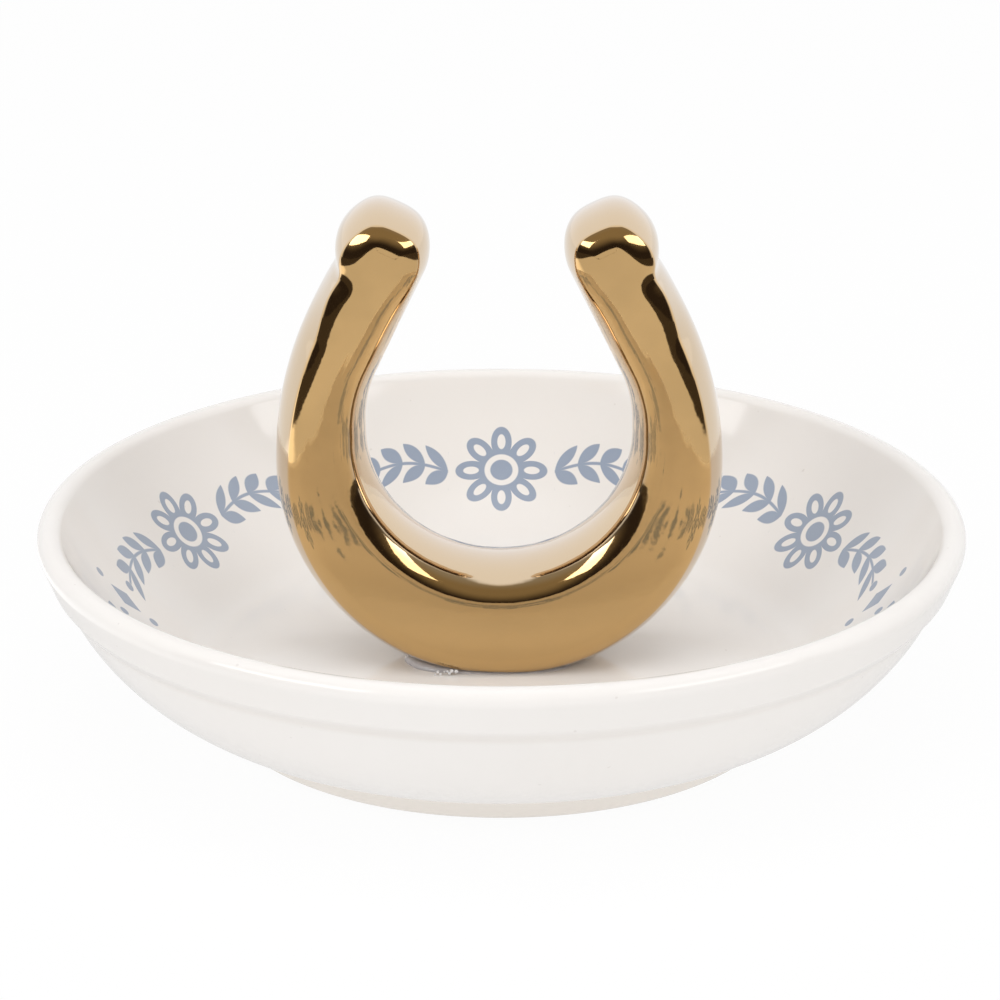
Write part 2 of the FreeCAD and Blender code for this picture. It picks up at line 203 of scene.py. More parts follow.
class Finishes(bpy.types.PropertyGroup):
    """Colours, gloss and waves of the three materials."""

    glaze: colour("Glaze", "Warm white glaze", (0.87, 0.845, 0.82))
    # Painted shade: glaze drawn darker in the hollow under the rim band.
    hollow_shade_glaze: colour("Hollow shade glaze", "Glaze painted darker in the hollow under the band, as shade", (0.82, 0.785, 0.75))
    thin_glaze: colour("Thin glaze", "Glaze on the foot ring, where clay shows through", (0.91, 0.86, 0.80))
    clouded_glaze: colour("Clouded glaze", "Glaze in its darker clouds", (0.8554, 0.8273, 0.7979))
    specks: colour("Specks", "Iron specks in the glaze", (0.40, 0.34, 0.29))
    speck_strength: share("Speck strength", "How much the specks show", 0.18)
    ink: colour("Print", "Slate blue of the print", (0.30, 0.36, 0.47))
    bare_clay: colour("Bare clay", "Unglazed clay under the foot ring", (0.70, 0.66, 0.60))
    gold: colour("Gold", "Gold lustre seen square on", (0.755, 0.485, 0.205))
    # Random clouds of the lustre, and painted shade on the lower part.
    cloudy_and_shaded_gold: colour("Cloudy and shaded gold", "Gold lustre in its darker clouds, and painted shade low down", (0.575, 0.37, 0.155))
    # Painted reflection: paler gold on the sides.
    side_reflection_gold: colour("Side reflection gold", "Gold painted paler on the sides, as a reflection", (0.715, 0.56, 0.385))
    # Painted highlight where the sides face up.
    top_highlight_gold: colour("Top highlight gold", "Gold painted palest where it faces up at the back, as a highlight", (0.73, 0.64, 0.575))
    cement: colour("Cement", "Set cement", (0.70, 0.68, 0.70))
    # Painted glints on the beads.
    painted_glints: colour("Painted glints", "Beads painted white, as glints", (0.95, 0.95, 0.96))
    glaze_roughness: share("Glaze roughness", "Gloss of the glaze", 0.07)
    gold_roughness: share("Gold roughness", "Gloss of the gold", 0.06)
    cement_roughness: share("Cement roughness", "Gloss of the cement", 0.05)
    glaze_waves: length("Glaze waves", "Height of the waves in the glaze", 0.00006)
    gold_waves: length("Gold waves", "Height of the waves under the gold", 0.00005)
    cement_waves: length("Cement waves", "Height of the waves in the cement", 0.00003)


class StageSizes(bpy.types.PropertyGroup):
    """Camera, floor and daylight, and what the gold mirrors: paper, table, card and room."""

    camera_distance: length("Camera distance", "Camera to the point it looks at", 0.575)
    camera_pitch: angle("Camera pitch", "Camera above the level of that point", 20.33)
    aim_height: length("Aim height", "That point above the table", 0.02783)
    aim_across: length("Aim across", "That point to the right of the middle of the dish", -0.00019)
    lens: FloatProperty(name="Lens", description="Focal length in millimetres", default=166.9, min=1)
    clip_start: length("Clip start", "Nearest thing that the camera sees", 0.01)
    floor_size: length("Floor size", "Width of the floor", 8.0)
    floor: colour("Floor", "Pale floor", (0.90, 0.90, 0.90))
    floor_clouds: colour("Floor clouds", "Floor in its paler clouds", (0.92, 0.92, 0.92))
    paper: colour("Paper", "Paper under the dish, as mirrored", (0.765, 0.76, 0.755))
    far_paper: colour("Far paper", "The same behind the dish", (0.92, 0.92, 0.92))
    paper_edge: length("Paper edge", "Middle of the paper to its side", 0.23)
    paper_blur: length("Paper blur", "Half the width of the soft edge there", 0.015)
    table: colour("Table", "Dark table beside the paper, in front", (0.06, 0.05, 0.04))
    table_fade: length("Table fade", "The table fades in over this length, from the middle forward", 0.04)
    paper_fade: length("Paper fade", "The paper pales over this length, from the middle back", 0.08)
    card_edge: length("Card edge", "Middle of the dish to the bright card on its left", 0.075)
    card_reach: length("Card reach", "Half the length of the card", 0.06)
    room: colour("Room", "Dark room behind the camera", (0.028, 0.022, 0.02))
    ceiling: colour("Ceiling", "The same towards its ceiling", (0.31, 0.27, 0.20))
    room_bearing: angle("Room bearing", "Front to the side of the room", 84.0)
    room_blur: angle("Room blur", "Half the width of the soft edge there", 5.0)
    daylight: colour("Daylight", "Light from all round", (1.0, 0.99, 0.985))
    daylight_level: share("Daylight level", "Strength of that light", 0.55)


def circle_crossing(first, first_radius, second, second_radius, side):
    """Where two circles cross, left (side 1) or right (side -1) of the line between their centres."""
    across = np.subtract(second, first)
    gap = np.hypot(*across)
    ahead = across / gap
    along = (first_radius**2 - second_radius**2 + gap**2) / (2 * gap)
    aside = side * math.sqrt(first_radius**2 - along**2)
    return first + ahead * along + np.array((-ahead[1], ahead[0])) * aside


def towards(start, end, distance):
    """The point at that distance from start in the direction of end."""
    step = np.subtract(end, start)
    return start + step * (distance / np.hypot(*step))


def run(start, end, count):
    """Evenly spaced points of a straight line, as start + (end - start) t."""
    return np.linspace(start, end, count)


def arc(centre, start, end, count):
    """Evenly spaced points of a circle's arc of under half a turn, as centre + radius (cos a, sin a)."""
    first, last = np.subtract(start, centre), np.subtract(end, centre)
    bearings = np.unwrap([math.atan2(first[1], first[0]), math.atan2(last[1], last[0])])
    turn = np.linspace(*bearings, count)
    return centre + np.hypot(*first) * np.stack((np.cos(turn), np.sin(turn)), axis=1)


def joined(*stretches):
    """Stretches of points laid end to end, where each begins at the last one's end."""
    return np.vstack([stretches[0], *(stretch[1:] for stretch in stretches[1:])])


def straight_edge(start, end):
    """Signed distance to a straight edge, above zero on its left, and the way that it grows."""
    along = np.subtract(end, start) / math.dist(start, end)
    left = np.array((-along[1], along[0]))
    return lambda point: (left @ (point - start), left)


def round_edge(centre, radius):
    """Signed distance to a circle, above zero outside it, and the way that it grows."""

    def measure(point):
        away = point - centre
        gap = np.hypot(*away)
        return gap - radius, away / gap

    return measure


def rounding(corner, radius, first, first_side, second, second_side, count):
    """Arc that rounds a corner between two edges.

    Its centre lies one radius from both edges, on the given side of each. It is found from the corner in
    a few steps, each of which takes the edges as straight. The arc runs between the points where it
    touches the edges.
    """
    centre = np.array(corner, float)
    sides = np.array((first_side, second_side))
    for _ in range(ROUNDING_STEPS):
        gaps, slopes = zip(first(centre), second(centre))
        centre = centre + np.linalg.solve(np.array(slopes), sides * radius - np.array(gaps))
    touches = [centre - side * radius * edge(centre)[1] for side, edge in zip(sides, (first, second))]
    return arc(centre, *touches, count)


def lip_centre(dish):
    """Centre of the half-round lip, as (radius, height)."""
    return np.array((dish.radius - dish.lip_radius, dish.height - dish.lip_radius))


def floor_edge(dish):
    """Corner of the floor with the wall, before it is rounded, as (radius, height)."""
    return np.array((dish.foot_radius + dish.floor_overhang, dish.floor_height))


def bowl_centre(dish):
    """Centre of the curve of the wall's inside, which touches the lip and meets the floor's corner."""
    reach = dish.bowl_radius + dish.lip_radius
    return circle_crossing(lip_centre(dish), reach, floor_edge(dish), dish.bowl_radius, -1)


def dish_profile(dish):
    """The dish's half section as points (radius, height), from the middle of the floor to the recess.

    Straight runs and arcs in order: floor, bowl, lip, band, step, wall, foot ring and recess. Air is on
    the left of the way round, so a hollow corner is rounded on the left and a sharp one on the right.
    """
    middle_floor, floor_corner, lip = np.array((0, dish.floor_height)), floor_edge(dish), lip_centre(dish)
    band_edge = np.array((dish.radius - dish.band_draw_in, dish.height - dish.band_height))
    wall_top = band_edge - (dish.step_depth, dish.step_drop)
    wall_foot = np.array((dish.foot_radius, dish.foot_height))
    foot_outside = np.array((dish.foot_radius - dish.foot_draw_in, 0))
    foot_inside = np.array((dish.foot_radius - dish.foot_width, 0))
    recess_corner = foot_inside + (0, dish.recess_height)
    middle_recess = np.array((0, dish.recess_height))

    bowl_middle = bowl_centre(dish)
    lip_inside = towards(lip, bowl_middle, dish.lip_radius)
    half_way = (lip + band_edge) / 2
    lip_outside = circle_crossing(lip, dish.lip_radius, half_way, math.dist(half_way, lip), 1)
    wall_middle = circle_crossing(wall_foot, dish.wall_radius, wall_top, dish.wall_radius, 1)

    floor = straight_edge(middle_floor, floor_corner)
    bowl = round_edge(bowl_middle, dish.bowl_radius)
    band = straight_edge(lip_outside, band_edge)
    step = straight_edge(band_edge, wall_top)
    wall = round_edge(wall_middle, dish.wall_radius)
    foot = straight_edge(wall_foot, foot_outside)
    sole = straight_edge(foot_outside, foot_inside)
    inner = straight_edge(foot_inside, recess_corner)
    recess = straight_edge(recess_corner, middle_recess)

    turn_steps, floor_turn_steps, foot_turn_steps = 10, 28, 16
    floor_steps, wall_steps, lip_steps, band_steps = 24, 40, 48, 8
    short_steps, sole_steps, recess_steps = 3, 6, 16
    floor_turn = rounding(floor_corner, dish.floor_round, floor, 1, bowl, -1, floor_turn_steps)
    band_turn = rounding(band_edge, dish.band_round, band, -1, step, -1, turn_steps)
    step_turn = rounding(wall_top, dish.step_round, step, 1, wall, 1, turn_steps)
    root_turn = rounding(wall_foot, dish.foot_root_round, wall, 1, foot, 1, turn_steps)
    foot_turn = rounding(foot_outside, dish.foot_round, foot, -1, sole, -1, foot_turn_steps)
    inner_turn = rounding(foot_inside, dish.foot_inner_round, sole, -1, inner, -1, turn_steps)
    recess_turn = rounding(recess_corner, dish.recess_round, inner, 1, recess, 1, turn_steps)
    return joined(
        run(middle_floor, floor_turn[0], floor_steps),
        floor_turn,
        arc(bowl_middle, floor_turn[-1], lip_inside, wall_steps),
        arc(lip, lip_inside, lip_outside, lip_steps),
        run(lip_outside, band_turn[0], band_steps),
        band_turn,
        run(band_turn[-1], step_turn[0], short_steps),
        step_turn,
        arc(wall_middle, step_turn[-1], root_turn[0], wall_steps),
        root_turn,
        run(root_turn[-1], foot_turn[0], short_steps),
        foot_turn,
        run(foot_turn[-1], inner_turn[0], sole_steps),
        inner_turn,
        run(inner_turn[-1], recess_turn[0], short_steps),
        recess_turn,
        run(recess_turn[-1], middle_recess, recess_steps),
    )


def even_bearings(turns):
    """That many bearings, evenly spaced round one turn."""
    return np.arange(turns) * (2 * math.pi / turns)


def turned(profile, turns):
    """Grid of a profile (r, z) turned about Z: (r cos a, r sin a, z), one row for each bearing a."""
    bearings = even_bearings(turns)
    reach, height = profile.T
    across, along = (np.outer(f(bearings), reach) for f in (np.cos, np.sin))
    return np.stack((across, along, np.broadcast_to(height, across.shape)), axis=2)


def smooth_step(values, low, high):
    """Rises from 0 at low to 1 at high as t t (3 - 2 t)."""
    t = np.clip((values - low) / (high - low), 0, 1)
    return t * t * (3 - 2 * t)


def edge_normals(points, centre, sign):
    """Unit normals of an arc: away from its centre times the sign."""
    away = points - centre
    return sign * away / np.hypot(*away.T)[:, None]


def even_steps(points, normals, count, turn_weight):
    """A path drawn again with that many points, spaced by its length plus a weight times its turning."""
    steps = np.hypot(*np.diff(points, axis=0).T) + turn_weight * np.hypot(*np.diff(normals, axis=0).T)
    travel = np.concatenate(((0,), np.cumsum(steps)))
    places = np.linspace(0, travel[-1], count)
    columns = [np.interp(places, travel, column) for column in np.hstack((points, normals)).T]
    points, normals = np.stack(columns[:2], axis=1), np.stack(columns[2:], axis=1)
    return points, normals / np.hypot(*normals.T)[:, None]


def horseshoe_paths(shoe):
    """The right half's outline in two paths, from the toe to the tip of the heel: outside and inside.

    Each is (points, normals into the casting), from arcs and straights that touch: round toe, side,
    notch and knob outside; bore, short straight, bore again, leaning straight and knob inside. The knob's
    end is flattened: at the angle p from its tip its radius is R (1 - f cos(4 p) cos(p)^2).
    """
    fine = 400
    radius = shoe.width / 2
    bore_radius = radius - shoe.branch_width
    toe_middle = np.array((0, shoe.foot_height + radius - shoe.toe_cut))
    side_middle = toe_middle + (radius - shoe.side_radius, 0)
    bore_low = toe_middle + (0, shoe.bore_rise)
    bore_high = bore_low + (0, shoe.bore_straight)
    outward = np.array((math.cos(shoe.branch_lean), math.sin(shoe.branch_lean)))
    upward = np.array((-outward[1], outward[0]))
    bore_end = bore_high + outward * bore_radius
    branch_end = bore_end + upward * shoe.branch_length
    knob = branch_end + outward * shoe.heel_radius
    knob_tip = knob + upward * shoe.heel_radius
    reach, span = shoe.side_radius + shoe.notch_radius, shoe.heel_radius + shoe.notch_radius
    notch = circle_crossing(side_middle, reach, knob, span, -1)
    side_end = towards(side_middle, notch, shoe.side_radius)
    knob_start = towards(knob, notch, shoe.heel_radius)
    below, widest = toe_middle - (0, radius), toe_middle + (radius, 0)
    bore_bottom, bore_side = bore_low - (0, bore_radius), bore_low + (bore_radius, 0)
    bore_top = bore_high + (bore_radius, 0)

    def bend(centre, start, end, sign):
        points = arc(centre, start, end, fine)
        return points, edge_normals(points, centre, sign)

    def knob_end(start, end):
        away = edge_normals(arc(knob, start, end, fine), knob, 1)
        ahead = np.stack((-away[:, 1], away[:, 0]), axis=1)
        c, s = np.clip(away @ upward, 0, 1), -away @ outward
        reach = (1 - shoe.heel_flat * (8 * c**6 - 8 * c**4 + c**2))[:, None]
        slope = (shoe.heel_flat * s * (48 * c**5 - 32 * c**3 + 2 * c))[:, None]
        into = ahead * slope - away * reach
        return knob + away * reach * shoe.heel_radius, into / np.hypot(*into.T)[:, None]

    def straight(start, end, normal):
        points = run(start, end, fine)
        return points, np.broadcast_to(normal, points.shape)

    outside = (
        bend(toe_middle, below, widest, -1),
        bend(side_middle, widest, side_end, -1),
        bend(notch, side_end, knob_start, 1),
        knob_end(knob_start, knob_tip),
    )
    inside = (
        bend(bore_low, bore_bottom, bore_side, 1),
        straight(bore_side, bore_top, np.array((1, 0))),
        bend(bore_high, bore_top, bore_end, 1),
        straight(bore_end, branch_end, outward),
        knob_end(branch_end, knob_tip),
    )
    turn_weight = shoe.heel_radius / 2
    paths = []
    for stretches in (outside, inside):
        points, normals = (joined(*layer) for layer in zip(*stretches))
        paths.append(even_steps(points, normals, shoe.steps, turn_weight))
    return paths


def looped(outer, inner, mirror=1):
    """Values on the two paths as one loop: up the outside, down the inside and back over the other half."""
    half = np.concatenate((outer, inner[-2::-1]))
    return np.concatenate((half, half[-2:0:-1] * mirror))


def blended(first, second, factor):
    """From first to second, as the factor goes from 0 to 1."""
    return first + (second - first) * factor


def rim_section(shoe, outer, inner, crown, half_depth):
    """Section of the rim at every point of the outline: (inset into the casting, place along the depth).

    It is three arcs that touch: a barrelled side, a tight corner and a rolled edge that turns on to the
    slope of the crowned face. The side's tilt and the roll's radius differ between outside, inside and
    heels.
    """
    tip, heel = outer[-1, 1], shoe.heel_radius
    heel_start, heel_full, cap_start = (tip - radii * heel for radii in (2.6, 1.4, 1.1))
    outer_heel, inner_heel = (smooth_step(path[:, 1], heel_start, heel_full) for path in (outer, inner))
    outer_tilt = blended(shoe.outer_tilt, shoe.heel_tilt, outer_heel)
    outer_tilt = blended(outer_tilt, shoe.inner_tilt, smooth_step(outer[:, 1], cap_start, tip))
    tilt = looped(outer_tilt, np.full(len(inner), shoe.inner_tilt))[:, None]
    roll = looped(
        blended(shoe.outer_roll_radius, shoe.heel_roll_radius, outer_heel),
        blended(shoe.inner_roll_radius, shoe.heel_roll_radius, inner_heel),
    )[:, None]
    inner_turn = blended(shoe.inner_corner_turn, shoe.corner_turn, inner_heel)
    turn = looped(np.full(len(outer), shoe.corner_turn), inner_turn)[:, None]
    level = math.pi / 2 - np.arctan(4 * looped(crown, crown))[:, None]
    corner_depth = shoe.corner_radius * (np.sin(turn) - np.sin(tilt))
    barrel = (half_depth - corner_depth - roll * (np.sin(level) - np.sin(turn))) / np.sin(tilt)
    side_steps, corner_steps, roll_steps = 10, 8, 14
    bends = (
        (barrel, 0, tilt, side_steps),
        (shoe.corner_radius, tilt, turn, corner_steps),
        (roll, turn, level, roll_steps),
    )
    inset = forward = np.zeros(tilt.shape)
    for radius, first, last, count in bends:
        turns = blended(first, last, np.linspace(0, 1, count)[None, 1:])
        inset = np.hstack((inset, inset[:, -1:] + radius * (np.cos(first) - np.cos(turns))))
        forward = np.hstack((forward, forward[:, -1:] + radius * (np.sin(turns) - np.sin(first))))
    return np.hstack((inset[:, :0:-1], inset)), np.hstack((-forward[:, :0:-1], forward))


def set_and_lean(grid, shoe, tip):
    """Presses a grid flat where it lies below the foot, softly, and leans it as the kiln left it.

    A height d above the foot becomes (d + hypot(d, e)) / 2 for a soft edge e, and the lean grows with it.
    """
    foot = shoe.foot_height - shoe.foot_dip * smooth_step(grid[:, :, 0], shoe.dip_start, shoe.dip_end)
    above = grid[:, :, 2] - foot
    rise = (above + np.hypot(above, shoe.foot_edge)) / 2
    grid[:, :, 0] += shoe.fired_lean * rise / (tip - shoe.foot_height)
    grid[:, :, 2] = foot + rise


def horseshoe_grids(shoe):
    """Grids of the horseshoe: the rim that runs round its outline, and the halves of its two faces.

    The rim carries its section along the outline, each point moved in by the section's inset. A face is
    ruled between the outer and the inner path, with a crown 4 c w t (1 - t) for the share t across its
    width w, where c fades out towards the tips of the heels.
    """
    (outer, outer_in), (inner, inner_in) = horseshoe_paths(shoe)
    mirror = np.array((-1, 1))
    points, inward = looped(outer, inner, mirror), looped(outer_in, inner_in, mirror)
    span = np.hypot(*(outer - inner).T)
    crown = shoe.crown * smooth_step(span, 0, span.max())
    inset, forward = rim_section(shoe, outer, inner, crown, shoe.depth / 2 - shoe.crown * span.max())
    places = points[:, None, :] + inward[:, None, :] * inset[:, :, None]
    rim = np.stack((places[:, :, 0], -forward, places[:, :, 1]), axis=2)

    steps, face_steps = len(outer), 14
    left, right = rim[:steps, -1], rim[2 * steps - 2 : steps - 2 : -1, -1]
    across = np.linspace(0, 1, face_steps)
    front = left[:, None, :] + (right - left)[:, None, :] * across[None, :, None]
    width = np.linalg.norm(right - left, axis=1)
    front[:, :, 1] -= np.outer(crown * width, 4 * across * (1 - across))
    faces = [front * (x, y, 1) for x in (1, -1) for y in (1, -1)]
    for grid in (rim, *faces):
        set_and_lean(grid, shoe, outer[-1, 1])
    return rim, faces


def cement_grids(cement, floor_height):
    """Grids of the cement: a pressed layer and its beads.

    The layer's edge is a superellipse of power 3 with ripples. Its top falls to the floor as
    sqrt(1 - v^8), with v from 0 in the middle to 1 at the edge, and is piled up at the left end as v^6
    times a bell curve of the bearing. A bead is a ball against the front left edge.
    """
    turns, steps = 144, 22
    edge_power, top_power, pile_power = 3, 8, 6
    ripple_waves = ((7, 1.0, 1.0), (13, 0.7, 2.0), (23, 0.5, 0.0))
    bearings = even_bearings(turns)
    inverse = (np.abs(np.cos(bearings)) / cement.half_length) ** edge_power
    inverse = inverse + (np.abs(np.sin(bearings)) / cement.half_width) ** edge_power
    ripples = sum(size * np.sin(number * bearings + start) for number, size, start in ripple_waves)
    edge = inverse ** (-1 / edge_power) * (1 + cement.ripple * ripples)
    v = np.sin(np.linspace(0, math.pi / 2, steps))
    top = np.sqrt(np.clip(1 - v**top_power, 0, 1))
    from_pile = (bearings - math.pi - cement.wedge_bearing) / cement.wedge_spread
    pile = np.outer(np.exp(-(from_pile**2)), v**pile_power * top)
    height = cement.thickness * top + cement.wedge_height * pile
    reach = np.outer(edge, v)
    both = np.hstack((reach, reach[:, -2::-1]))
    levels = np.hstack((height, np.zeros((turns, steps - 1))))
    across, along = both * np.cos(bearings)[:, None] - cement.shift, both * np.sin(bearings)[:, None]
    layer = np.stack((across, along, floor_height + levels), axis=2)

    count, bead_turns, bead_steps = cement.beads, 14, 9
    smallest_share, jitter_share, stray_share = 0.4, 0.6, 0.3
    draw = np.random.default_rng(BEAD_SEED)
    radius = cement.bead_radius * (smallest_share + (1 - smallest_share) * draw.random(count))
    row = (np.arange(count) + jitter_share * draw.random(count)) / count
    across = -cement.half_length * (cement.bead_start + cement.bead_run * row)
    stray = cement.bead_radius * (1 + stray_share * draw.random(count))
    height = floor_height + radius + cement.bead_rise * draw.random(count)
    centres = np.stack((across, -cement.half_width - cement.bead_gap - stray, height), axis=1)
    upward = np.linspace(-math.pi / 2, math.pi / 2, bead_steps)
    ball = turned(np.stack((np.cos(upward), np.sin(upward)), axis=1), bead_turns)
    beads = centres[:, None, None, :] + radius[:, None, None, None] * ball[None]
    return layer, beads


def grid_faces(rows, columns, closed, offset):
    """Corner numbers of a grid's quads, row by row; a closed grid joins its last row to its first."""
    numbers = offset + np.arange(rows * columns).reshape(rows, columns)
    if closed:
        numbers = np.vstack((numbers, numbers[:1]))
    quads = (numbers[:-1, :-1], numbers[1:, :-1], numbers[1:, 1:], numbers[:-1, 1:])
    return np.stack(quads, axis=2).reshape(-1, 4)


def new_piece(name, grids, material):
    """One mesh object from grids of points, each (grid, closed), welded, smooth and facing out."""
    points, faces, offset = [], [], 0
    for grid, closed in grids:
        points.append(grid.reshape(-1, 3))
        faces.append(grid_faces(*grid.shape[:2], closed, offset))
        offset += len(points[-1])
    mesh = bpy.data.meshes.new(name)
    mesh.from_pydata(np.vstack(points).tolist(), [], np.vstack(faces).tolist())
    solid = bmesh.new()
    solid.from_mesh(mesh)
    bmesh.ops.remove_doubles(solid, verts=solid.verts, dist=MERGE_DISTANCE)
    bmesh.ops.recalc_face_normals(solid, faces=solid.faces)
    solid.to_mesh(mesh)
    solid.free()
    mesh.polygons.foreach_set("use_smooth", np.ones(len(mesh.polygons), bool))
    mesh.materials.append(material)
    piece = bpy.data.objects.new(name, mesh)
    bpy.context.scene.collection.objects.link(piece)
    return piece


def feed(tree, socket, value):
    """Sets an input from a field, another node's output or a plain value."""
    if isinstance(value, Field):
        value = value.socket
    if isinstance(value, bpy.types.NodeSocket):
        tree.links.new(value, socket)
    else:
        socket.default_value = value


def feed_all(tree, node, values):
    """Sets a node's inputs by their names."""
    for name, value in values.items():
        feed(tree, node.inputs[name], value)


def add_node(tree, kind, inputs=None, **settings):
    """A new node of that kind, with its settings and then its inputs set by name."""
    node = tree.nodes.new(kind)
    for name, value in settings.items():
        setattr(node, name, value)
    feed_all(tree, node, inputs or {})
    return node


class Field:
    """A value that varies over a surface. Sums, products and functions of fields become math nodes."""

    def __init__(self, tree, socket):
        self.tree = tree
        self.socket = socket

    def math(self, operation, *values):
        node = add_node(self.tree, "ShaderNodeMath", operation=operation)
        for socket, value in zip(node.inputs, (self, *values)):
            feed(self.tree, socket, value)
        return Field(self.tree, node.outputs[0])

    def __add__(self, other):
        return self.math("ADD", other)

    def __sub__(self, other):
        return self.math("SUBTRACT", other)

    def __mul__(self, other):
        return self.math("MULTIPLY", other)

    def __truediv__(self, other):
        return self.math("DIVIDE", other)

    def __neg__(self):
        return self.math("MULTIPLY", -1.0)

    def __pow__(self, power):
        return self.math("POWER", power)

    def __abs__(self):
        return self.math("ABSOLUTE")

    def either(self, other):
        return self.math("MAXIMUM", other)

    def both(self, other):
        return self.math("MULTIPLY", other)

    def hypot(self, other):
        return (self * self + other * other).math("SQRT")

    def ramp(self, low, high):
        """Smooth rise from 0 at low to 1 at high."""
        limits = {"Value": self, "From Min": low, "From Max": high}
        node = add_node(self.tree, "ShaderNodeMapRange", limits, interpolation_type="SMOOTHSTEP")
        return Field(self.tree, node.outputs["Result"])

    def below(self, softness):
        """1 where the field is under zero, 0 above, with a soft edge."""
        return self.ramp(softness, -softness)


def axes(tree, vector):
    """X, Y and Z of a vector, as fields."""
    split = add_node(tree, "ShaderNodeSeparateXYZ", {"Vector": vector})
    return [Field(tree, socket) for socket in split.outputs]


def mixed(tree, factor, first, second):
    """A colour between two, by a factor from 0 to 1. Each is red, green and blue, or a node's output."""
    node = add_node(tree, "ShaderNodeMix", data_type="RGBA")
    feed(tree, node.inputs[0], factor)
    for number, tint in ((6, first), (7, second)):
        feed(tree, node.inputs[number], tint if isinstance(tint, bpy.types.NodeSocket) else (*tint, 1.0))
    return node.outputs[2]


def mixed_shader(tree, factor, first, second):
    """A node that shades between two shader nodes, by a factor from 0 to 1."""
    node = add_node(tree, "ShaderNodeMixShader")
    for socket, value in zip(node.inputs, (factor, first.outputs[0], second.outputs[0])):
        feed(tree, socket, value)
    return node


def new_group(name, inputs, outputs):
    """An empty shader node group with named sockets: (group, its inputs, its output node)."""
    group = bpy.data.node_groups.new(name, "ShaderNodeTree")
    kinds = {"vector": "NodeSocketVector", "value": "NodeSocketFloat"}
    for side, sockets in (("INPUT", inputs), ("OUTPUT", outputs)):
        for socket, kind in sockets.items():
            group.interface.new_socket(name=socket, in_out=side, socket_type=kinds[kind])
    return group, group.nodes.new("NodeGroupInput").outputs, group.nodes.new("NodeGroupOutput")


def noise(tree, place, scale, detail=2.0, roughness=0.5, distortion=0.0):
    """Cloudy noise about 0.5, with that many waves to the metre."""
    inputs = {
        "Vector": place,
        "Scale": scale,
        "Detail": detail,
        "Roughness": roughness,
        "Distortion": distortion,
    }
    return Field(tree, add_node(tree, "ShaderNodeTexNoise", inputs).outputs[0])


def clouds_group():
    """Slow clouds of tone and the gentle waves of a poured coat, both from cloudy noise."""
    group, given, result = new_group(
        COAT,
        {"Position": "vector", "Cloud Scale": "value", "Wave Scale": "value"},
        {"Clouds": "value", "Waves": "value"},
    )
    cloud_low, cloud_high = 0.3, 0.7
    clouds = noise(group, given["Position"], given["Cloud Scale"], detail=3.0, roughness=0.55)
    waves = noise(group, given["Position"], given["Wave Scale"], detail=3.0, roughness=0.4)
    feed_all(group, result, {"Clouds": clouds.ramp(cloud_low, cloud_high), "Waves": waves})
    return group


def flower_ink(prints, across, up, soft):
    """A flower of n lobes cos(n a / 2), with a bare ring round its eye and a bare dimple in each petal."""
    reach = across.hypot(up)
    half_petal = math.pi / prints.petals
    on_petal = across.math("ARCTAN2", up).math("WRAP", half_petal, -half_petal)
    flower_radius, eye = prints.flower_radius / MM, prints.eye_radius / MM
    petal_share, bluntness, collar_place, collar_share = 0.5, 0.7, 1.45, 0.3
    dimple_place, dimple_share, dimple_slimness = 0.66, 0.17, 1.9
    lobes = (on_petal * (prints.petals / 2)).math("COSINE")
    flower = (reach - (lobes**bluntness * petal_share + (1 - petal_share)) * flower_radius).below(soft)
    collar = (abs(reach - eye * collar_place) - eye * collar_share).below(soft)
    petal_out = reach * on_petal.math("COSINE") - flower_radius * dimple_place
    petal_aside = reach * on_petal.math("SINE") * dimple_slimness
    dimple = (petal_out.hypot(petal_aside) - flower_radius * dimple_share).below(soft)
    return flower - flower.both(collar.either(dimple))


def spray_ink(prints, side, up, soft):
    """A spray beside the flower: a stem that rises as a sine, pairs of leaves along it and a bud.

    A leaf is a lens, as wide as 4 t (1 - t) for the share t of its length.
    """
    pitch, leaf = prints.leaf_pitch / MM, prints.leaf_length / MM
    spray = prints.leaf_pairs * pitch
    along = side - prints.spray_start / MM
    stem_shape = (along * (math.pi / spray)).math("SINE") * (prints.stem_rise / MM)
    off = up - stem_shape
    on_spray = (-along).below(soft).both((along - spray).below(soft))
    stem = (abs(off) - prints.stem_width / MM).below(soft).both(on_spray)
    cell = along.math("WRAP", pitch, 0.0)
    lean_cos, lean_sin = math.cos(prints.leaf_lean), math.sin(prints.leaf_lean)
    leaf_along = (cell * lean_cos + abs(off) * lean_sin) / leaf
    leaf_off = abs(abs(off) * lean_cos - cell * lean_sin)
    lens = (leaf_along - leaf_along * leaf_along) * (4 * prints.leaf_width / MM)
    leaves = (leaf_off - lens).below(soft).both(on_spray)
    bud = ((along - spray - prints.bud_gap / MM).hypot(up) - prints.bud_radius / MM).below(soft)
    return stem.either(leaves).either(bud)


def lozenge_ink(prints, from_edge, up, soft):
    """A lozenge between two sprays, with a dot above it and one below."""
    height, slimness, dot_place, dot_share = prints.lozenge / MM, 1.7, 1.75, 0.26
    lozenge = (from_edge * slimness + abs(up) - height).below(soft)
    dots = (from_edge.hypot(abs(up) - height * dot_place) - height * dot_share).below(soft)
    return lozenge.either(dots)


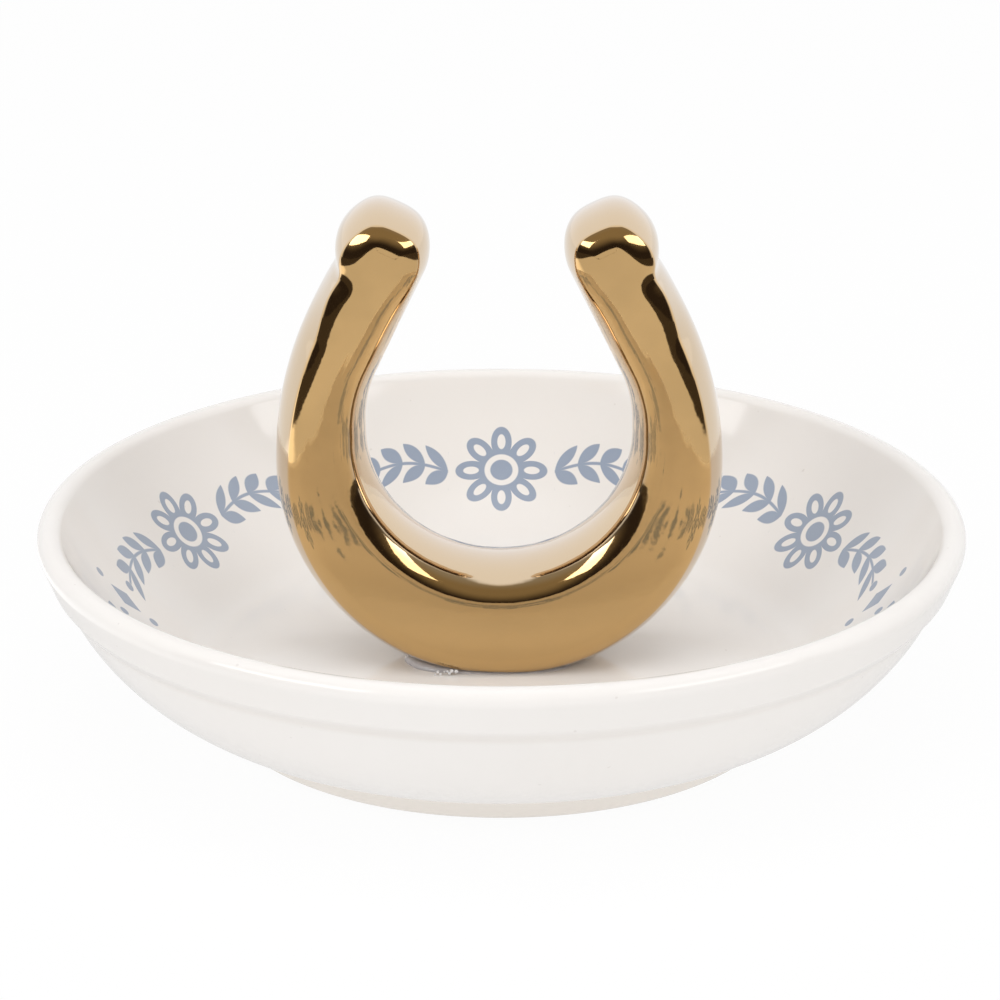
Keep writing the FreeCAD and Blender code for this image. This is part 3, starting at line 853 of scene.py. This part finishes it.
def border_group(prints, dish):
    """The print: 1 where there is ink on the inside of the wall, worked out in millimetres.

    The wall's inside is an arc of radius R about (c, h), so a point at radius r lies at the angle
    asin((r - c) / R), and that angle times R is its place up the wall. Round the dish, the bearing is
    wrapped into one repeat, with the flower in its middle and a lozenge at its edges.
    """
    group, given, result = new_group("Printed border", {"Position": "vector"}, {"Ink": "value"})
    x, y, z = (axis / MM for axis in axes(group, given["Position"]))
    soft = prints.softness / MM
    centre_radius, centre_height = bowl_centre(dish) / MM
    bowl_radius = dish.bowl_radius / MM
    radius = x.hypot(y)
    half_repeat = math.pi / prints.repeats
    bearing = x.math("ARCTAN2", y).math("WRAP", half_repeat, -half_repeat)
    steepness = ((radius - centre_radius) / bowl_radius).math("ARCSINE")
    middle_steepness = math.asin((prints.middle_radius / MM - centre_radius) / bowl_radius)
    up = (steepness - middle_steepness) * bowl_radius
    across = bearing * radius
    side = abs(across)
    ink = flower_ink(prints, across, up, soft).either(spray_ink(prints, side, up, soft))
    ink = ink.either(lozenge_ink(prints, radius * half_repeat - side, up, soft))
    wall_height = -(steepness.math("COSINE") * bowl_radius) + centre_height
    under_wall, edge_blur = 0.8, 0.1
    inside = (wall_height - z - under_wall).below(edge_blur)
    feed(group, result.inputs["Ink"], ink.both(inside))
    return group


def new_material(name, plain):
    """A node material with plain values on its shader: (material, its tree, shader, object coordinates)."""
    material = bpy.data.materials.new(name)
    material.use_nodes = True
    tree = material.node_tree
    tree.nodes.clear()
    shader = add_node(tree, "ShaderNodeBsdfPrincipled", plain)
    add_node(tree, "ShaderNodeOutputMaterial", {"Surface": shader.outputs[0]})
    return material, tree, shader, add_node(tree, "ShaderNodeTexCoord").outputs["Object"]


def grouped(tree, group, inputs):
    """A node group in a tree, with its inputs set: its outputs as fields, by name."""
    node = add_node(tree, "ShaderNodeGroup", inputs, node_tree=group)
    return {socket.name: Field(tree, socket) for socket in node.outputs}


def bumped(tree, height, distance):
    """A normal that follows a height from 0 to 1 over that distance."""
    bump = add_node(tree, "ShaderNodeBump", {"Height": height, "Distance": distance, "Strength": 1.0})
    return bump.outputs["Normal"]


def glaze_material(finish, dish, border, coat):
    """White glaze with the border printed in it and a few iron specks.

    It has painted shade in the hollow under the rim band, is thin round the foot ring, and is wiped off
    below it.
    """
    material, tree, shader, place = new_material("dish_glaze", {"IOR": 1.52})
    poured = grouped(tree, coat, {"Position": place, "Cloud Scale": 28.0, "Wave Scale": 110.0})
    across, along, height = axes(tree, place)
    ground = mixed(tree, poured["Clouds"], finish.glaze, finish.clouded_glaze)
    speck_scale, speck_low, speck_high = 1150.0, 0.86, 0.89
    speckled = noise(tree, place, speck_scale, detail=0.0).ramp(speck_low, speck_high)
    ground = mixed(tree, speckled * finish.speck_strength, ground, finish.specks)

    # Painted shade: a darker ring of glaze in the hollow under the rim band, on the outside.
    fall, set_back, hollow_share = dish.step_drop, dish.step_depth, 0.8
    wall_top = dish.radius - dish.band_draw_in - set_back
    outside = (across.hypot(along) - wall_top).ramp(-set_back, -set_back / 2)
    hollow = height - dish.height + dish.band_height + fall * hollow_share
    painted_hollow_shade = (abs(hollow) - fall / 2).below(fall / 3).both(outside)
    ground = mixed(tree, painted_hollow_shade, ground, finish.hollow_shade_glaze)
    full_share, thin_share = 1.25, 0.9
    foot_ring_or_sides = height.ramp(dish.foot_height * full_share, dish.foot_height * thin_share)
    ground = mixed(tree, foot_ring_or_sides, ground, finish.thin_glaze)

    least_density, density_clouds = 0.90, 0.07
    ink = grouped(tree, border, {"Position": place})["Ink"]
    density = poured["Clouds"] * density_clouds + least_density
    printed = mixed(tree, ink * density, ground, finish.ink)
    glazed_height, wiped_height = 0.45 * MM, 0.25 * MM
    bare = height.ramp(glazed_height, wiped_height)
    smudge, clay_roughness = 0.03, 0.6
    smudges = poured["Clouds"] * smudge + finish.glaze_roughness
    feed_all(tree, shader, {
        "Base Color": mixed(tree, bare, printed, finish.bare_clay),
        "Roughness": smudges + bare * clay_roughness,
        "Normal": bumped(tree, poured["Waves"], finish.glaze_waves),
    })
    return material


def gold_material(finish, coat):
    """Mirror gold lustre over a wavy glaze, with fine smears.

    It is browner in clouds and darker low down as painted shade. The sides carry a paler painted reflection,
    with a painted highlight where they face up at the back.
    """
    plain = {"Metallic": 1.0, "Coat Weight": 0.35, "Coat Roughness": 0.04}
    material, tree, shader, place = new_material("gold_lustre", plain)
    poured = grouped(tree, coat, {"Position": place, "Cloud Scale": 95.0, "Wave Scale": 240.0})
    _, depth, height = axes(tree, place)
    # Browner in random clouds of the lustre, and darker low down as painted shade.
    cloud_share, low_shade_start, low_shade_full = 0.5, 32 * MM, 14 * MM
    clouds_and_low_shade = (poured["Clouds"] * cloud_share).either(height.ramp(low_shade_start, low_shade_full))
    face_colour = mixed(tree, clouds_and_low_shade, finish.gold, finish.cloudy_and_shaded_gold)
    # Painted reflection: the sides, away from the two faces, are drawn in a paler gold.
    face_depth, side_depth = 6.8 * MM, 6.0 * MM
    foot_ring_or_sides = abs(depth).ramp(face_depth, side_depth)
    # Painted highlight: palest where the sides face up, towards the back.
    level_start, level_full, fade_depth = 0.1, 0.7, 5.5 * MM
    upward = axes(tree, add_node(tree, "ShaderNodeTexCoord").outputs["Normal"])[2]
    painted_top_highlight = upward.ramp(level_start, level_full).both(depth.ramp(-fade_depth, fade_depth))
    sides = mixed(tree, painted_top_highlight, finish.side_reflection_gold, finish.top_highlight_gold)
    smear_scale, smear_low, smear_high, smear_roughness = 900.0, 0.45, 0.8, 0.05
    streaks = noise(tree, place, smear_scale, detail=4.0, roughness=0.6, distortion=0.6)
    smears = streaks.ramp(smear_low, smear_high)
    feed_all(tree, shader, {
        "Base Color": mixed(tree, foot_ring_or_sides, face_colour, sides),
        "Roughness": smears * smear_roughness + finish.gold_roughness,
        "Normal": bumped(tree, poured["Waves"], finish.gold_waves),
    })
    return material


def cement_material(finish, cement, coat):
    """Clear cement, cloudy with trapped air, glossy and rough by turns, with the beads past its front
    painted white as glints.
    """
    plain = {"IOR": 1.49, "Transmission Weight": 0.3}
    material, tree, shader, place = new_material("clear_cement", plain)
    poured = grouped(tree, coat, {"Position": place, "Cloud Scale": 900.0, "Wave Scale": 1500.0})
    paler, cloud_roughness = 1.2, 0.08
    pale = [min(1.0, c * paler) for c in finish.cement]
    body = mixed(tree, poured["Clouds"], finish.cement, pale)
    # Painted glints: beads past the front of the layer are drawn white.
    in_front = axes(tree, place)[1] + cement.half_width + cement.bead_gap
    painted_glints = in_front.below(cement.bead_gap / 4)
    feed_all(tree, shader, {
        "Base Color": mixed(tree, painted_glints, body, finish.painted_glints),
        "Roughness": poured["Clouds"] * cloud_roughness + finish.cement_roughness,
        "Normal": bumped(tree, poured["Waves"], finish.cement_waves),
    })
    return material


def seen_directly(tree):
    """Two fields: 1 for rays from the camera, and 1 for these and rays mirrored or passed on to it."""
    path = add_node(tree, "ShaderNodeLightPath").outputs
    camera, glossy, passed = (
        Field(tree, path[name]) for name in ("Is Camera Ray", "Is Glossy Ray", "Is Transmission Ray")
    )
    return camera, camera.either(glossy).either(passed)


def floor_material(stage):
    """Pale floor that looks white, glows a little and still takes the soft shadow of the dish.

    In mirrored rays it is a sheet of pale paper, with the dark table in front on both sides of it and a
    bright card on its left.
    """
    plain = {"Roughness": 0.9, "Specular IOR Level": 0.1}
    material, tree, shader, place = new_material("studio_floor", plain)
    cloud_scale = 3.0
    pale = mixed(tree, noise(tree, place, cloud_scale), stage.floor, stage.floor_clouds)
    feed(tree, shader.inputs["Base Color"], pale)
    across, along, _ = axes(tree, place)
    edge, blur = stage.paper_edge, stage.paper_blur
    table = abs(across).ramp(edge - blur, edge + blur).both(along.ramp(0.0, -stage.table_fade))
    sheet = mixed(tree, along.ramp(0.0, stage.paper_fade), stage.paper, stage.far_paper)
    paper = mixed(tree, table, sheet, stage.table)
    card_blur, end_blur = 0.005, 0.02
    card = (across + stage.card_edge).below(card_blur).both((abs(along) - stage.card_reach).below(end_blur))
    camera, direct = seen_directly(tree)
    mirrored = direct - camera
    glow_level, seen_level, card_level = 1.2, 1.0, 0.9
    glow = add_node(tree, "ShaderNodeEmission", {
        "Color": mixed(tree, mirrored, WHITE, paper),
        "Strength": card.both(mirrored) * card_level + direct * (seen_level - glow_level) + glow_level,
    })
    glow_share, mirrored_share, seen_share = 0.45, 1.0, 0.94
    blend = direct * (mirrored_share - glow_share) + camera * (seen_share - mirrored_share) + glow_share
    output = next(node for node in tree.nodes if node.type == "OUTPUT_MATERIAL")
    feed(tree, output.inputs["Surface"], mixed_shader(tree, blend, shader, glow).outputs[0])
    return material


def studio_world(stage):
    """White surroundings with a dark room behind the camera, and a plain level of light from all round.

    The camera sees white. Mirrored rays see white too, but for the dark room: a soft-edged patch in front,
    between two heights and two bearings, lighter towards its ceiling. All other rays get the plain level
    of light. Heights are on a globe, from -1 below to 1 above.
    """
    world = bpy.data.worlds.new("studio")
    world.use_nodes = True
    tree = world.node_tree
    tree.nodes.clear()
    x, y, z = axes(tree, add_node(tree, "ShaderNodeTexCoord").outputs["Generated"])
    sill_low, sill_high, top, top_blur = -0.05, -0.02, 0.96, 0.03
    dim_height, bright_height = 0.16, 0.66
    room = (abs(x.math("ARCTAN2", -y)) - stage.room_bearing).below(stage.room_blur)
    room = room.both(z.ramp(sill_low, sill_high)).both((z - top).below(top_blur))
    wall = mixed(tree, z.ramp(dim_height, bright_height), stage.room, stage.ceiling)
    camera, direct = seen_directly(tree)
    plain, mirrored, white = (
        add_node(tree, "ShaderNodeBackground", {"Color": tint, "Strength": level})
        for tint, level in (
            ((*stage.daylight, 1.0), stage.daylight_level),
            (mixed(tree, room, WHITE, wall), 1.0),
            ((*WHITE, 1.0), 1.0),
        )
    )
    shown = mixed_shader(tree, direct, plain, mixed_shader(tree, camera, mirrored, white))
    add_node(tree, "ShaderNodeOutputWorld", {"Surface": shown.outputs[0]})
    return world


def softbox(name, aim, bearing, rise, distance, size, radiance, mirrored=True):
    """A lamp that faces the aim, from a bearing right of the front and a rise above the level.

    Its size is its width and height. One that isn't mirrored lights the dish and stays out of reflections.
    """
    bearing, rise = math.radians(bearing), math.radians(rise)
    level = math.cos(rise)
    place = aim + distance * Vector((level * math.sin(bearing), -level * math.cos(bearing), math.sin(rise)))
    lamp = bpy.data.lights.new(name, "AREA")
    lamp.shape = "RECTANGLE"
    lamp.size, lamp.size_y = size
    lamp.energy = radiance * math.pi * math.prod(size)
    box = bpy.data.objects.new(name, lamp)
    box.location = place
    box.rotation_euler = (aim - place).to_track_quat("-Z", "Y").to_euler()
    box.visible_camera = False
    box.visible_glossy = mirrored
    bpy.context.scene.collection.objects.link(box)


class RINGDISH_OT_turn_dish(bpy.types.Operator):
    """Turns the dish's profile and gives it the printed glaze"""

    bl_idname = "ring_dish.turn_dish"
    bl_label = "Turn the dish"

    def execute(self, context):
        dish, finish = context.scene.dish_sizes, context.scene.dish_finishes
        border = border_group(context.scene.dish_print, dish)
        material = glaze_material(finish, dish, border, bpy.data.node_groups[COAT])
        piece = new_piece("glazed_dish", [(turned(dish_profile(dish), dish.turns), True)], material)
        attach(piece, "root")
        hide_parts("dish_body")
        return {"FINISHED"}


class RINGDISH_OT_cast_horseshoe(bpy.types.Operator):
    """Casts the horseshoe and gilds it"""

    bl_idname = "ring_dish.cast_horseshoe"
    bl_label = "Cast the horseshoe"

    def execute(self, context):
        rim, faces = horseshoe_grids(context.scene.horseshoe_sizes)
        material = gold_material(context.scene.dish_finishes, bpy.data.node_groups[COAT])
        grids = [(rim, True), *((face, False) for face in faces)]
        piece = new_piece("gilt_horseshoe", grids, material)
        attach(piece, "root")
        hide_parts("horseshoe_stand")
        return {"FINISHED"}


class RINGDISH_OT_lay_cement(bpy.types.Operator):
    """Lays the cement under the horseshoe's foot, with its squeezed-out beads"""

    bl_idname = "ring_dish.lay_cement"
    bl_label = "Lay the cement"

    def execute(self, context):
        cement, finish = context.scene.cement_sizes, context.scene.dish_finishes
        layer, beads = cement_grids(cement, context.scene.dish_sizes.floor_height)
        material = cement_material(finish, cement, bpy.data.node_groups[COAT])
        piece = new_piece("squeezed_cement", [(layer, True), *((bead, True) for bead in beads)], material)
        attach(piece, "root")
        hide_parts("glue_bed")
        return {"FINISHED"}


class RINGDISH_OT_mix_coat(bpy.types.Operator):
    """Mixes the poured coat that the materials share"""

    bl_idname = "ring_dish.mix_coat"
    bl_label = "Mix the coat"

    def execute(self, context):
        clouds_group()
        return {"FINISHED"}


class RINGDISH_OT_set_stage(bpy.types.Operator):
    """Sets the floor, the lamps, the surroundings and the camera"""

    bl_idname = "ring_dish.set_stage"
    bl_label = "Set the stage"

    def execute(self, context):
        stage, scene = context.scene.dish_stage, context.scene
        half = stage.floor_size / 2
        sweep = np.linspace(-half, half, 2)
        floor_grid = np.stack((*np.meshgrid(sweep, sweep, indexing="ij"), np.zeros((2, 2))), axis=2)
        floor = new_piece("studio_floor", [(floor_grid, False)], floor_material(stage))
        scene.world = studio_world(stage)
        aim = Vector((stage.aim_across, 0, stage.aim_height))
        for name, lamp in LAMPS.items():
            softbox(name, aim, **lamp)

        camera = bpy.data.objects.new("camera", bpy.data.cameras.new("camera"))
        back = Vector((0, -math.cos(stage.camera_pitch), math.sin(stage.camera_pitch)))
        camera.location = aim + back * stage.camera_distance
        camera.rotation_euler = (-back).to_track_quat("-Z", "Y").to_euler()
        camera.data.lens = stage.lens
        camera.data.clip_start = stage.clip_start
        scene.collection.objects.link(camera)
        scene.camera = camera
        scene.view_settings.view_transform = "Standard"
        return {"FINISHED"}


class RINGDISH_PT_panel(bpy.types.Panel):
    """Sizes, finishes and steps of the ring dish"""

    bl_label = "Ring dish"
    bl_idname = "RINGDISH_PT_panel"
    bl_space_type = "VIEW_3D"
    bl_region_type = "UI"
    bl_category = "Ring dish"

    def draw(self, context):
        for operator in OPERATORS:
            self.layout.operator(operator.bl_idname)
        for pointer, kind in GROUPS.items():
            box = self.layout.box()
            box.label(text=kind.__name__)
            for name in kind.__annotations__:
                box.prop(getattr(context.scene, pointer), name)


GROUPS = {
    "dish_sizes": DishSizes,
    "horseshoe_sizes": HorseshoeSizes,
    "cement_sizes": CementSizes,
    "dish_print": PrintSizes,
    "dish_finishes": Finishes,
    "dish_stage": StageSizes,
}
OPERATORS = (
    RINGDISH_OT_mix_coat,
    RINGDISH_OT_turn_dish,
    RINGDISH_OT_lay_cement,
    RINGDISH_OT_cast_horseshoe,
    RINGDISH_OT_set_stage,
)


def register():
    for kind in (*GROUPS.values(), *OPERATORS, RINGDISH_PT_panel):
        bpy.utils.register_class(kind)
    for pointer, kind in GROUPS.items():
        setattr(bpy.types.Scene, pointer, PointerProperty(type=kind))


def unregister():
    for pointer in GROUPS:
        delattr(bpy.types.Scene, pointer)
    for kind in (RINGDISH_PT_panel, *reversed(OPERATORS), *reversed(GROUPS.values())):
        bpy.utils.unregister_class(kind)


def main():
    register()
    bpy.ops.ring_dish.mix_coat()
    bpy.ops.ring_dish.turn_dish()
    bpy.ops.ring_dish.lay_cement()
    bpy.ops.ring_dish.cast_horseshoe()
    bpy.ops.ring_dish.set_stage()


if __name__ == "__main__":
    main()
